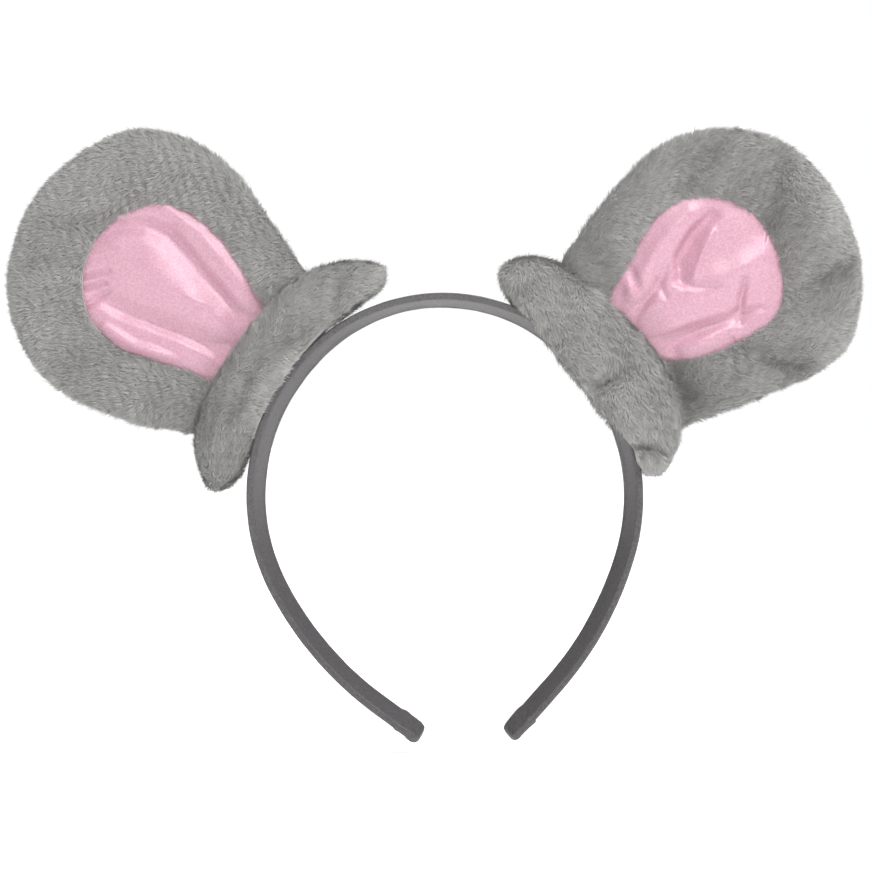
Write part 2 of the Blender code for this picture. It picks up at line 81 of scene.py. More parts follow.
# Band: the CAD's centre line, as arcs (radius, turn) from the crown down each side
BAND_WIDTH = 12.0
BAND_THICKNESS = 3.0
CROWN_ARC = (59.8, math.radians(32.7))
SIDE_ARC = (66.6, math.radians(78.9))
LOWER_ARC = (114.7, math.radians(26.0))
LEAN = math.radians(5.9)
ARM_END = {"left": 202.5, "right": 194.5}
FLARE_CROWN = math.radians(9.5)
FLARE_SIDE = math.radians(17.0)
FLARE_START = 10.0
FLARE_END = 60.0
CROWN_DROP = 0.075
SPLIT = {"left": 66.0, "right": 60.0}
BEND_REACH = 13.0
TIP_LENGTH = 10.5

# Outlines in each ear's frame, in millimetres
EAR_OUTLINE = {
    "left": [(28, 15), (32.5, 23), (38, 40), (43, 57), (43, 76), (36, 93), (21, 103.3), (1, 108.3),
             (-20, 105.3), (-39, 94), (-51, 75), (-52.5, 55), (-46.5, 34), (-40, 22), (-36, 15), (-18, 13),
             (10, 13)],
    "right": [(35, 10), (39.5, 19), (46.5, 41), (51, 60), (50, 76), (39, 90), (22, 100), (1, 104.2),
              (-20, 100), (-36, 86), (-43.5, 66), (-42, 46), (-37, 27), (-33, 15), (-28, 10), (-12, 10),
              (18, 10)],
}
INSERT_OUTLINE = {
    "left": [(10, 17.5), (17.5, 33), (22, 46), (23.5, 60), (19, 72.5), (9, 81), (-3, 83), (-17, 79),
             (-27, 68.5), (-29, 55), (-25.5, 40), (-21, 29.5), (-17, 17.5), (-3, 17)],
    "right": [(12, 18), (20, 27), (23.6, 34), (26, 44), (27.5, 57), (23, 68), (11, 75), (-3, 77.5),
              (-16, 72.5), (-24.5, 61), (-25, 46), (-19, 33), (-11, 17.5), (4, 17)],
}
EAR_CENTRE = {"left": (-3.0, 56.0), "right": (2.0, 54.0)}
CUFF_STATIONS = {
    "left": [(-49, -2.4, 1.0), (-46, -4.2, 7), (-38, -5, 15), (-28, -2.5, 20), (-12, 1.5, 22.3),
             (4, 2.5, 22.8), (20, 1, 21.8), (32, -2, 18), (39, -4, 12.5), (44, -4.8, 7.5), (48, -3.4, 2.2)],
    "right": [(-44.5, -3.5, 3), (-41, -5, 8), (-33, -6.2, 14.5), (-20, -6.8, 18.5), (-5, -7, 21),
              (10, -7, 22), (23, -6.8, 20.7), (34, -7, 15.5), (41, -7.8, 9), (45.5, -5.5, 2.5)],
}

# Folds as (path, depth, width to the left of the path, width to its right). A ridge has a negative depth
PLUSH_FOLDS = {
    "left": [
        (((-14, 104), (-6, 92), (4, 83)), 1.3, 3.0, 4.5),
        (((-30, 98), (-16, 88)), 0.7, 3.0, 3.0),
        (((30, 30), (36, 48), (36, 66)), 0.8, 4.5, 3.0),
        (((-46, 62), (-36, 60)), 0.7, 3.0, 3.5),
        (((-40, 30), (-26, 34)), 0.7, 3.5, 3.0),
    ],
    "right": [
        (((-16, 100), (-7, 89), (1, 79)), 2.4, 2.2, 4.5),
        (((29, 93), (27, 83), (25, 73)), 2.2, 4.5, 2.2),
        (((-33, 88), (-29, 74), (-27, 62)), 1.6, 2.5, 4.0),
        (((28, 47), (38, 50), (49, 60)), 2.2, 2.4, 4.5),
        (((30, 60), (49, 72)), -1.0, 5.0, 5.0),
        (((18, 23), (28, 20), (40, 14)), 2.0, 4.5, 2.5),
        (((10, 96), (12, 82)), -1.0, 5.0, 5.0),
    ],
}
SATIN_FOLDS = {
    "left": [
        (((4, 80), (10.5, 72), (12.5, 64), (11, 55), (8.5, 46), (4, 22)), 2.8, 2.4, 4.4),
        (((-20, 70), (-18, 60), (-15, 50), (-12, 40), (-8, 21)), 2.6, 4.0, 2.4),
        (((18.5, 70), (19, 56), (14, 34)), -1.3, 2.6, 2.6),
        (((-26, 62), (-25, 50), (-20, 36)), -1.6, 2.0, 2.0),
        (((-3, 74), (-2, 52), (-1, 34)), -1.4, 7.0, 7.0),
        (((-22, 77), (-14, 71)), 1.3, 1.0, 1.0),
        (((-19, 80), (-10, 72.5)), 1.0, 1.0, 1.2),
        (((-25, 72), (-16, 68.5)), 1.1, 1.0, 1.2),
        (((-1, 45), (1, 39)), -0.8, 2.2, 2.2),
    ],
    "right": [
        (((-14, 66), (-12.5, 57), (-9, 48), (-3, 43.5)), 3.4, 2.6, 1.7),
        (((-3, 43.5), (2, 46), (6, 52)), 1.2, 1.4, 2.4),
        (((-9, 62), (-5, 54), (-1, 48)), -1.3, 1.3, 1.6),
        (((-8, 41), (-5, 34), (-2, 20)), 1.8, 1.4, 2.6),
        (((-7, 37.5), (-1, 36)), 1.2, 1.0, 1.2),
        (((19, 53), (14, 40), (8, 21)), 2.6, 3.6, 1.6),
        (((11, 61), (15, 56), (21, 51)), 1.6, 1.2, 1.4),
        (((22, 60), (17, 51)), 1.2, 1.0, 1.2),
        (((20, 46), (17, 30)), -1.0, 3.0, 3.0),
        (((8, 70), (6, 58), (3, 47)), -1.6, 5.0, 5.0),
        (((-19, 60), (-17, 46), (-12, 34)), -1.3, 3.0, 3.0),
        (((-17, 33), (-9, 30.5)), 1.4, 1.1, 1.3),
        (((-13, 28.5), (-9, 27.5)), -0.9, 1.5, 1.5),
    ],
}
CUFF_FOLDS = {
    "left": [
        (((-26, 8.5), (-10, 12), (2, 11.5), (9, 7)), 1.7, 3.6, 1.9),
        (((-24, 4.5), (-8, 8), (6, 5)), -0.7, 2.0, 2.0),
        (((24, 2), (34, 8), (43, 8)), 1.0, 2.5, 2.0),
        (((-44, 6), (-34, 12), (-26, 15)), 0.8, 3.0, 3.0),
        (((-40, -2), (-30, 2)), 0.8, 2.0, 2.0),
    ],
    "right": [
        (((7, -9), (8.5, 0), (10.5, 9)), 2.6, 3.4, 2.2),
        (((-33, -5), (-32.5, 4)), 1.3, 2.2, 2.6),
        (((27, -8), (32, -2), (40, 3)), 2.0, 1.8, 2.2),
        (((33, 8), (43, 7)), 0.9, 1.5, 2.0),
        (((-8, 12), (2, 13), (9, 9)), 1.2, 3.2, 2.2),
        (((12, 13), (26, 10)), 0.9, 2.6, 3.4),
        (((-26, 9), (-14, 6)), 0.8, 3.0, 3.0),
        (((-12, -6), (-9, 4)), 0.8, 2.0, 3.0),
    ],
}

FOLD_END = 0.3
FOLD_MARGIN = 0.12
FOLD_SHARPNESS = 1.7
SHARP_EDGE = math.radians(70.0)

# Random seeds of the unevenness and of the pile
SEEDS = {
    "left": {"ring": 11, "back": 21, "satin": 31, "cuff": 41, "tip": 61, "ear_pile": 100},
    "right": {"ring": 12, "back": 22, "satin": 32, "cuff": 42, "tip": 62, "ear_pile": 200},
}
BAND_SEED = 51
BACK_PILE_SEED_STEP = 10
CUFF_PILE_SEED_STEP = 60

# Pile: lengths in millimetres, naps as directions in the ear's frame
PILE_LENGTH = 2.0
PILE_WIDTH = 0.23
PILE_PER_MM2 = {"ear_ring": 9.5, "ear_back": 6.5, "cuff": 9.5}
PILE_TONE = 2.5
# The cuff pile is given lighter shades than the same pile on the ears: painted light that brightens the
# shaded cuffs
CUFF_LIT_TONE = 3.2
# How many pile shades darker the fibres are painted at the bottom of a fold: painted shade in the creases
PAINTED_CREASE_SHADE = 0.9
STRAY_SHARE = 0.14
STRAY_LIFT = math.radians(22.0)
STRAY_LONGER = 1.25
LIFT_MEAN = 36.0
LIFT_BY_TUFT = 9.0
LIFT_SPREAD = 11.0
LIFT_LIMITS = (10.0, 80.0)
TURN_SPREAD = 0.28
SHADE_SPREAD = 0.8
EAR_NAP = {"left": (-0.55, 0.85), "right": (0.35, 0.85)}
CUFF_NAP = (0.9, -0.35)

# Colours, linear
# Pile shades, mixed at random over the plush; the darker ones also paint shade into the folds
PLUSH_SHADES = [
    (0.235, 0.232, 0.224),
    (0.300, 0.297, 0.287),
    (0.345, 0.342, 0.331),
    (0.385, 0.381, 0.369),
    (0.435, 0.431, 0.417),
]
PLUSH_CLOTH = (0.330, 0.327, 0.316)
PINK = (0.555, 0.312, 0.390)
PINK_DEEP = (0.460, 0.235, 0.308)
SATIN_GREY = (0.112, 0.107, 0.110)
SATIN_GREY_DARK = (0.076, 0.072, 0.075)


# ---- small mathematics ----

def smoothstep(value):
    held = np.clip(value, 0.0, 1.0)
    return held * held * (3.0 - 2.0 * held)


def closed_curve(controls, per_span=24):
    """A smooth closed curve through the control points (Catmull-Rom)."""
    knots = np.array(controls, float)
    t = (np.arange(per_span) / per_span)[:, None]
    spans = []
    for k in range(len(knots)):
        a, b, c, d = (knots[(k + shift) % len(knots)] for shift in (-1, 0, 1, 2))
        spans.append(0.5 * (2 * b + (c - a) * t + (2 * a - 5 * b + 4 * c - d) * t ** 2
                            + (3 * b - a - 3 * c + d) * t ** 3))
    return np.concatenate(spans)


def radii_about(centre, curve, angles):
    """The curve's distance from the centre at each angle."""
    offsets = curve - np.array(centre)
    bearings = np.arctan2(offsets[:, 1], offsets[:, 0])
    order = np.argsort(bearings)
    return np.interp(angles, bearings[order], np.hypot(*offsets.T)[order], period=2.0 * math.pi)


def inset_of(points, curve):
    """How far each point is from the outline."""
    return np.array([np.hypot(*(curve - p).T).min() for p in points])


def path_distance(points, path):
    """Distance of 2-D points from a path, the share of it they fall at, and whether they are on its left."""
    path = np.array(path, float)
    runs = np.diff(path, axis=0)
    lengths = np.hypot(*runs.T)
    before = np.concatenate([[0.0], np.cumsum(lengths)])
    nearest = np.full(len(points), np.inf)
    share = np.zeros(len(points))
    on_left = np.zeros(len(points), bool)
    for k, run in enumerate(runs):
        offset = points - path[k]
        along = np.clip(offset @ run / lengths[k] ** 2, 0.0, 1.0)
        distance = np.hypot(*(offset - along[:, None] * run).T)
        closer = distance < nearest
        nearest = np.where(closer, distance, nearest)
        share = np.where(closer, (before[k] + along * lengths[k]) / before[-1], share)
        on_left = np.where(closer, run[0] * offset[:, 1] - run[1] * offset[:, 0] > 0, on_left)
    return nearest, share, on_left


def folds(points, table, widen=1.0):
    """The depth of all folds at each 2-D point. Each fold fades towards its ends."""
    total = np.zeros(len(points))
    for path, depth, left_width, right_width in table:
        distance, share, on_left = path_distance(points, path)
        width = widen * np.where(on_left, left_width, right_width)
        middling = np.sin(math.pi * (FOLD_MARGIN + (1.0 - 2.0 * FOLD_MARGIN) * share))
        fade = FOLD_END + (1.0 - FOLD_END) * middling
        total += depth * fade * np.exp(-(distance / width) ** FOLD_SHARPNESS)
    return total


def waves(points, size, seed):
    """Smooth pseudo-random waves between about -1 and 1, the same on every run."""
    chooser = np.random.default_rng(seed)
    total = np.zeros(len(points))
    for _ in range(7):
        heading = chooser.normal(size=points.shape[1])
        heading *= chooser.uniform(0.6, 1.6) / (np.linalg.norm(heading) * size)
        total += np.sin(2.0 * math.pi * (points @ heading) + chooser.uniform(0.0, 2.0 * math.pi))
    return total / 3.2


# ---- places ----

def ear_world(side, u, v, d):
    """Points of an ear's frame in the part's frame."""
    joint = JOINTS["ear_fold_" + side]
    along = np.array(joint["axis"])
    away = np.cross(along, -FRONT)
    offset = np.multiply.outer(np.asarray(u, float), along)
    offset = offset + np.multiply.outer(np.asarray(v, float) - HINGE_V, away)
    offset = offset + np.multiply.outer(np.asarray(d, float), FRONT)
    return np.array(joint["pos_m"]) + offset * MM


def ear_local(side, places):
    """The u, v and d of points given in the part's frame."""
    joint = JOINTS["ear_fold_" + side]
    along = np.array(joint["axis"])
    away = np.cross(along, -FRONT)
    offset = (places - np.array(joint["pos_m"])) / MM
    return np.stack([offset @ along, offset @ away + HINGE_V, offset @ FRONT], -1)


def curve_point(length):
    """The band's inner centre point and turn. Negative lengths run down the left side."""
    side = -1 if length < 0 else 1
    left_over = abs(length)
    x = z = turn = 0.0
    for radius, sweep in ((CROWN_ARC[0], CROWN_ARC[1] - side * LEAN), SIDE_ARC, LOWER_ARC):
        step = min(sweep, left_over / radius)
        x += radius * (math.sin(turn + step) - math.sin(turn))
        z += radius * (math.cos(turn + step) - math.cos(turn))
        turn += step
        left_over -= step * radius
    x += left_over * math.cos(turn)
    z -= left_over * math.sin(turn)
    return np.array([side * x, 0.0, z + CROWN_DROP]), side * turn


def band_frame(length):
    """A point of the band, its backward direction across the strip and its outward direction."""
    point, turn = curve_point(length)
    outward = np.array([math.sin(turn), 0.0, math.cos(turn)])
    rise = smoothstep((abs(length) - FLARE_START) / (FLARE_END - FLARE_START))
    flare = FLARE_CROWN + (FLARE_SIDE - FLARE_CROWN) * rise
    across = -FRONT * math.cos(flare) - outward * math.sin(flare)
    through = outward * math.cos(flare) - FRONT * math.sin(flare)
    return point, across, through


# ---- meshes ----

def make_mesh(name, points, faces, materials):
    mesh = bpy.data.meshes.new(name)
    mesh.from_pydata([tuple(p) for p in points], [], [tuple(int(i) for i in f) for f in faces])
    item = bpy.data.objects.new(name, mesh)
    bpy.context.scene.collection.objects.link(item)
    for made in materials:
        mesh.materials.append(made)
    mesh.polygons.foreach_set("use_smooth", [True] * len(mesh.polygons))
    mesh.set_sharp_from_angle(angle=SHARP_EDGE)
    mesh.update()
    return item


def outward(item):
    """Turns a closed mesh's faces outward."""
    tool = bmesh.new()
    tool.from_mesh(item.data)
    bmesh.ops.recalc_face_normals(tool, faces=tool.faces)
    tool.to_mesh(item.data)
    tool.free()
    return item


def ring_faces(ring_count, ring_size):
    """Quads between successive closed rings of points."""
    k = np.arange(ring_size)
    n = (k + 1) % ring_size
    rows = []
    for ring in range(ring_count - 1):
        base = ring * ring_size
        rows.append(np.stack([base + k, base + n, base + ring_size + n, base + ring_size + k], 1))
    return [tuple(f) for f in np.concatenate(rows)]


def capped(rings):
    """The faces of a closed solid through rings, with both ends capped."""
    size = len(rings[0])
    faces = ring_faces(len(rings), size)
    last = (len(rings) - 1) * size
    return faces + [tuple(range(size))[::-1], tuple(range(last, last + size))]


# ---- materials ----

def new_material(name):
    made = bpy.data.materials.new(name)
    made.use_nodes = True
    nodes = made.node_tree.nodes
    return made, made.node_tree, nodes, nodes["Principled BSDF"]


def noise(tree, scale, detail):
    """A noise texture on the piece's own coordinates."""
    place = tree.nodes.new("ShaderNodeTexCoord")
    texture = tree.nodes.new("ShaderNodeTexNoise")
    texture.inputs["Scale"].default_value = scale
    texture.inputs["Detail"].default_value = detail
    tree.links.new(place.outputs["Object"], texture.inputs["Vector"])
    return texture.outputs["Fac"]


def shade_between(tree, shader, factor, low, high, start=0.35, stop=0.65):
    ramp = tree.nodes.new("ShaderNodeValToRGB")
    ramp.color_ramp.elements[0].position = start
    ramp.color_ramp.elements[0].color = (*low, 1.0)
    ramp.color_ramp.elements[1].position = stop
    ramp.color_ramp.elements[1].color = (*high, 1.0)
    tree.links.new(factor, ramp.inputs["Fac"])
    tree.links.new(ramp.outputs["Color"], shader.inputs["Base Color"])


def bump(tree, shader, heights, strength, distance):
    node = tree.nodes.new("ShaderNodeBump")
    node.inputs["Strength"].default_value = strength
    node.inputs["Distance"].default_value = distance
    tree.links.new(heights, node.inputs["Height"])
    tree.links.new(node.outputs["Normal"], shader.inputs["Normal"])


def added(tree, first, second, share):
    """first plus share of second."""
    node = tree.nodes.new("ShaderNodeMath")
    node.operation = "MULTIPLY_ADD"
    node.inputs[1].default_value = share
    tree.links.new(second, node.inputs[0])
    tree.links.new(first, node.inputs[2])
    return node.outputs["Value"]


def satin(name, low, high, roughness, metal, shine):
    """Satin: a smooth lustrous face, tinted in its shine, with fine threads that break it up a little."""
    made, tree, _, shader = new_material(name)
    shade_between(tree, shader, noise(tree, 1500.0, 3.0), low, high)
    shader.inputs["Metallic"].default_value = metal
    shader.inputs["Roughness"].default_value = roughness
    shader.inputs["Specular IOR Level"].default_value = shine
    shader.inputs["Anisotropic"].default_value = 0.3
    heights = added(tree, noise(tree, 2200.0, 3.0), noise(tree, 700.0, 2.0), 0.4)
    bump(tree, shader, heights, 0.55, 0.0002)
    return made


def plush_cloth():
    made, tree, _, shader = new_material("plush_cloth")
    darker = tuple(0.75 * c for c in PLUSH_CLOTH)
    shade_between(tree, shader, noise(tree, 500.0, 3.0), darker, PLUSH_CLOTH)
    shader.inputs["Roughness"].default_value = 1.0
    shader.inputs["Specular IOR Level"].default_value = 0.1
    shader.inputs["Sheen Weight"].default_value = 0.6
    shader.inputs["Sheen Roughness"].default_value = 0.5
    bump(tree, shader, noise(tree, 1800.0, 2.0), 0.6, 0.0004)
    return made


def pile_shade(index, colour):
    """One shade of pile fibre. Its colour is even along a fibre, and the shades are mixed over the plush."""
    made, _, _, shader = new_material("plush_pile_%d" % (index + 1))
    shader.inputs["Base Color"].default_value = (*colour, 1.0)
    shader.inputs["Roughness"].default_value = 0.85
    shader.inputs["Specular IOR Level"].default_value = 0.25
    shader.inputs["Sheen Weight"].default_value = 0.6
    shader.inputs["Sheen Roughness"].default_value = 0.5
    return made


def plain_grained(name, low, high, roughness, scale):
    """For pieces inside: moulded plastic, wadding, glue and thread."""
    made, tree, _, shader = new_material(name)
    shade_between(tree, shader, noise(tree, scale, 3.0), low, high)
    shader.inputs["Roughness"].default_value = roughness
    bump(tree, shader, noise(tree, 4.0 * scale, 2.0), 0.3, 0.0001)
    return made


SATIN_PINK = satin("satin_pink", PINK_DEEP, PINK, 0.50, 0.05, 1.0)
GREY_SATIN = satin("satin_grey", SATIN_GREY_DARK, SATIN_GREY, 0.45, 0.1, 0.3)
PLUSH_BASE = plush_cloth()
PILE = [pile_shade(index, colour) for index, colour in enumerate(PLUSH_SHADES)]
INSIDE = {
    "band_core": plain_grained("spring_plastic", (0.04, 0.04, 0.045), (0.06, 0.06, 0.065), 0.45, 120.0),
    "wadding": plain_grained("wadding_fibre", (0.75, 0.75, 0.73), (0.88, 0.88, 0.86), 1.0, 900.0),
    "filling": plain_grained("filling_fibre", (0.75, 0.75, 0.73), (0.88, 0.88, 0.86), 1.0, 900.0),
    "glue": plain_grained("hot_melt_glue", (0.72, 0.68, 0.58), (0.80, 0.76, 0.66), 0.25, 300.0),
    "seam": plain_grained("sewing_thread", (0.30, 0.295, 0.285), (0.36, 0.355, 0.345), 0.8, 1500.0),
    "satin_seam": plain_grained("pink_thread", PINK_DEEP, PINK, 0.6, 1500.0),
}


# ---- plush pile ----

def sample_surface(item, count, chooser):
    """Points spread evenly over a mesh, with their smooth normals."""
    mesh = item.data
    mesh.calc_loop_triangles()
    corners = np.empty(len(mesh.loop_triangles) * 3, int)
    mesh.loop_triangles.foreach_get("vertices", corners)
    corners = corners.reshape(-1, 3)
    places = np.empty(len(mesh.vertices) * 3)
    mesh.vertices.foreach_get("co", places)
    places = places.reshape(-1, 3)
    normals = np.empty(len(mesh.vertices) * 3)
    mesh.vertices.foreach_get("normal", normals)
    normals = normals.reshape(-1, 3)
    a, b, c = (places[corners[:, k]] for k in range(3))
    areas = np.linalg.norm(np.cross(b - a, c - a), axis=1)
    picked = chooser.choice(len(corners), count, p=areas / areas.sum())
    first = np.sqrt(chooser.random(count))[:, None]
    second = chooser.random(count)[:, None]
    weights = [1.0 - first, first * (1.0 - second), first * second]
    points = sum(w * places[corners[picked, k]] for k, w in enumerate(weights))
    facing = sum(w * normals[corners[picked, k]] for k, w in enumerate(weights))
    return points, facing / np.linalg.norm(facing, axis=1)[:, None]


def mesh_area(item):
    return sum(face.area for face in item.data.polygons)


def grow_pile(name, cloth, density, nap, seed, keep=None, shaded_creases=None, tone=PILE_TONE):
    """Tapered, bent fibres of pile lying along the nap over a cloth.

    keep picks the roots that may grow, and the crease function gives how deep in a fold each root is, which
    paints darker shades into the folds as shade.
    """
    chooser = np.random.default_rng(seed)
    share = 1.0
    count = int(mesh_area(cloth) / MM ** 2 * density * share)
    roots, normals = sample_surface(cloth, count, chooser)
    if keep is not None:
        kept = keep(roots, normals)
        roots, normals = roots[kept], normals[kept]
    count = len(roots)
    swirl = waves(roots, 0.030, seed + 1) * 0.7 + waves(roots, 0.006, seed + 2) * 0.35
    turn = swirl + chooser.normal(0.0, TURN_SPREAD, count)
    lie = np.tile(np.asarray(nap, float), (count, 1))
    lie -= normals * np.sum(lie * normals, axis=1)[:, None]
    lie /= np.maximum(np.linalg.norm(lie, axis=1), 1e-6)[:, None]
    cross = np.cross(normals, lie)
    lie = lie * np.cos(turn)[:, None] + cross * np.sin(turn)[:, None]
    cross = np.cross(normals, lie)
    tuft = waves(roots, 0.004, seed + 3)
    lift = LIFT_MEAN + LIFT_BY_TUFT * tuft + chooser.normal(0.0, LIFT_SPREAD, count)
    lift = np.radians(np.clip(lift, *LIFT_LIMITS))
    stray = chooser.random(count) < STRAY_SHARE
    lift = np.where(stray, lift + STRAY_LIFT, lift)
    long = PILE_LENGTH * MM * chooser.uniform(0.7, 1.2, count) * (1.0 + 0.12 * tuft)
    long = long * np.where(stray, STRAY_LONGER, 1.0)
    wide = PILE_WIDTH * MM * chooser.uniform(0.7, 1.3, count) * (1.0 / math.sqrt(share))
    rise = lie * np.cos(lift)[:, None] + normals * np.sin(lift)[:, None]
    flat = lift * 0.45
    lean = lie * np.cos(flat)[:, None] + normals * np.sin(flat)[:, None]
    middle = roots + rise * (0.5 * long)[:, None]
    tip = middle + lean * (0.55 * long)[:, None]
    half = cross * (0.5 * wide)[:, None]
    points = np.stack([roots - half, roots + half, middle + 0.8 * half, middle - 0.8 * half, tip], 1)
    first = np.arange(count)[:, None] * 5
    quads = first + np.array([[0, 1, 2, 3]])
    ends = first + np.array([[3, 2, 4]])
    mesh = bpy.data.meshes.new(name)
    mesh.vertices.add(count * 5)
    mesh.vertices.foreach_set("co", points.reshape(-1))
    loops = np.concatenate([quads, ends], 1).reshape(-1)
    mesh.loops.add(count * 7)
    mesh.loops.foreach_set("vertex_index", loops)
    mesh.polygons.add(count * 2)
    starts = (np.arange(count)[:, None] * 7 + np.array([[0, 4]])).reshape(-1)
    mesh.polygons.foreach_set("loop_start", starts)
    mesh.polygons.foreach_set("loop_total", np.tile([4, 3], count))
    item = bpy.data.objects.new(name, mesh)
    bpy.context.scene.collection.objects.link(item)
    for made in PILE:
        mesh.materials.append(made)
    shade = tone + 0.8 * tuft + 0.5 * waves(roots, 0.022, seed + 4)
    shade = shade + chooser.normal(0.0, SHADE_SPREAD, count)
    # Painted shade: fibres deep in a fold take darker shades, for the shade that falls in the crease
    if shaded_creases is not None:
        shade -= PAINTED_CREASE_SHADE * shaded_creases(roots)
    shade = np.clip(shade, 0, len(PILE) - 0.01).astype(int)
    mesh.polygons.foreach_set("material_index", np.repeat(shade, 2))
    mesh.polygons.foreach_set("use_smooth", [True] * (count * 2))
    mesh.update(calc_edges=True)
    return item


# ---- ears ----

RING_STEPS = 180
RING_LEVELS = 22
PUFF = 4.4
PUFF_RISE = 8.0
RIM_INSET = 1.0
PLUSH_FOLD_DEPTH = 2.4
PLUSH_FOLD_WIDTH = 1.25
PLUSH_ROOM = 3.6
HOLE_FALL = 1.6
HOLE_FALL_WIDTH = 5.0
HOLE_EDGE = ((0.5, 0.5), (0.5, 1.2), (-0.6, 1.8), (-3.5, 2.0))
FOOT_FULLNESS = 0.42
FOOT_RISE = 14.0
SOFT_RISE = 7.0
THREAD_SIDES = 6
THREAD_RADIUS = 0.3
THREAD_PLACE = 2.0
THREAD_DROP = 2.3


def angles_round(count):
    return np.linspace(0.0, 2.0 * math.pi, count, endpoint=False)


def around(side, radii, angles):
    return np.array(EAR_CENTRE[side]) + radii[:, None] * np.stack([np.cos(angles), np.sin(angles)], 1)


def puffed(inset):
    """Depth of the plush over the ear's middle plane at a distance inside the rim."""
    share = np.clip(inset / PUFF_RISE, 0.0, 1.0)
    return PUFF * np.sqrt(np.maximum(1.0 - (1.0 - share) ** 2, 0.0))


def squeezed_foot(v):
    """How much of its fullness the ear keeps near its sewn base."""
    return FOOT_FULLNESS + (1.0 - FOOT_FULLNESS) * smoothstep((v - HINGE_V) / FOOT_RISE)


def ear_surface(side, uv, outline, seed, folded):
    """Depth of the plush surface with its unevenness and, where the panel is folded, its folds."""
    inset = inset_of(uv, outline) - RIM_INSET
    depth = puffed(inset) * squeezed_foot(uv[:, 1])
    soft = smoothstep(inset / SOFT_RISE)
    depth += soft * (0.55 * waves(uv, 34.0, seed) + 0.22 * waves(uv, 11.0, seed + 5))
    if folded:
        dent = PLUSH_FOLD_DEPTH * folds(uv, PLUSH_FOLDS[side], PLUSH_FOLD_WIDTH)
        depth -= soft * PLUSH_ROOM * np.tanh(dent / PLUSH_ROOM)
    return depth


def build_ear_ring(side):
    """The front plush panel, with its edge turned in round the satin, and the thread that sews the two."""
    angles = angles_round(RING_STEPS)
    outline = closed_curve(EAR_OUTLINE[side])
    rim = radii_about(EAR_CENTRE[side], outline, angles) - RIM_INSET
    hole = radii_about(EAR_CENTRE[side], closed_curve(INSERT_OUTLINE[side]), angles)
    rings = []
    for share in 1.0 - np.cos(np.linspace(0.0, math.pi / 2.0, RING_LEVELS)):
        uv = around(side, rim + (hole - rim) * share, angles)
        to_hole = (rim - hole) * (1.0 - share)
        fall = HOLE_FALL * (1.0 - smoothstep(to_hole / HOLE_FALL_WIDTH)) * squeezed_foot(uv[:, 1])
        rings.append((uv, ear_surface(side, uv, outline, SEEDS[side]["ring"], True) - fall))
    rings[0] = (rings[0][0], np.zeros(RING_STEPS))
    edge_depth = rings[-1][1]
    for inward, drop in HOLE_EDGE:
        rings.append((around(side, hole - inward, angles), edge_depth - drop))
    points = np.concatenate([ear_world(side, uv[:, 0], uv[:, 1], d) for uv, d in rings])
    cloth = make_mesh("ear_ring_cloth_" + side, points, ring_faces(len(rings), RING_STEPS), [PLUSH_BASE])
    face_forward(cloth, FRONT)
    return cloth, build_hole_seam(side, hole, edge_depth)


def build_hole_seam(side, hole, edge_depth):
    """The thread, hidden under the plush, that sews the satin to the plush's turned-in edge."""
    angles = angles_round(RING_STEPS)
    rings = []
    for turn in angles_round(THREAD_SIDES):
        uv = around(side, hole + THREAD_PLACE + THREAD_RADIUS * math.cos(turn), angles)
        d = edge_depth - THREAD_DROP + THREAD_RADIUS * math.sin(turn)
        rings.append(ear_world(side, uv[:, 0], uv[:, 1], d))
    faces = ring_faces(len(rings), RING_STEPS)
    last = (len(rings) - 1) * RING_STEPS
    for k in range(RING_STEPS):
        n = (k + 1) % RING_STEPS
        faces.append((last + k, last + n, n, k))
    item = make_mesh("satin_seam_thread_" + side, np.concatenate(rings), faces, [INSIDE["satin_seam"]])
    return outward(item)


def face_forward(item, direction):
    """Turns an open sheet's faces so that most of them face the given way."""
    total = Vector()
    for face in item.data.polygons:
        total += face.normal * face.area
    if total.dot(Vector(direction)) < 0:
        item.data.flip_normals()


def build_ear_back(side):
    """The back plush panel, one puffed disc."""
    angles = angles_round(RING_STEPS)
    outline = closed_curve(EAR_OUTLINE[side])
    rim = radii_about(EAR_CENTRE[side], outline, angles) - RIM_INSET
    rings = []
    for share in 1.0 - np.cos(np.linspace(0.0, math.pi / 2.0, RING_LEVELS))[:-1]:
        uv = around(side, rim * (1.0 - share), angles)
        rings.append((uv, -ear_surface(side, uv, outline, SEEDS[side]["back"], False)))
    rings[0] = (rings[0][0], np.zeros(RING_STEPS))
    points = np.concatenate([ear_world(side, uv[:, 0], uv[:, 1], d) for uv, d in rings])
    centre = rings[-1]
    middle = ear_world(side, *EAR_CENTRE[side], centre[1].mean())
    last = (len(rings) - 1) * RING_STEPS
    faces = ring_faces(len(rings), RING_STEPS)
    faces += [(last + k, last + (k + 1) % RING_STEPS, len(points)) for k in range(RING_STEPS)]
    cloth = make_mesh("ear_back_cloth_" + side, np.vstack([points, middle]), faces, [PLUSH_BASE])
    face_forward(cloth, -FRONT)
    return cloth


SATIN_GRID = 76
SATIN_TUCK = 2.4
SATIN_SLACK = 1.03
SIM_SCALE = 10.0
SIM_FRAMES = 24
SATIN_CAP = 1.0
SATIN_LIFT = 0.5
WADDING_ROOM = 0.5
SATIN_ROOM = 3.5
SATIN_FOLD_DEPTH = 1.55
SATIN_FOLD_WIDTH = 0.87
SATIN_DROP = 1.9
SATIN_CROWN = 2.6
SATIN_HOLD_RATE = 7.0
SATIN_FOLD_RATE = 9.0
PINNED_SHARE = 0.999


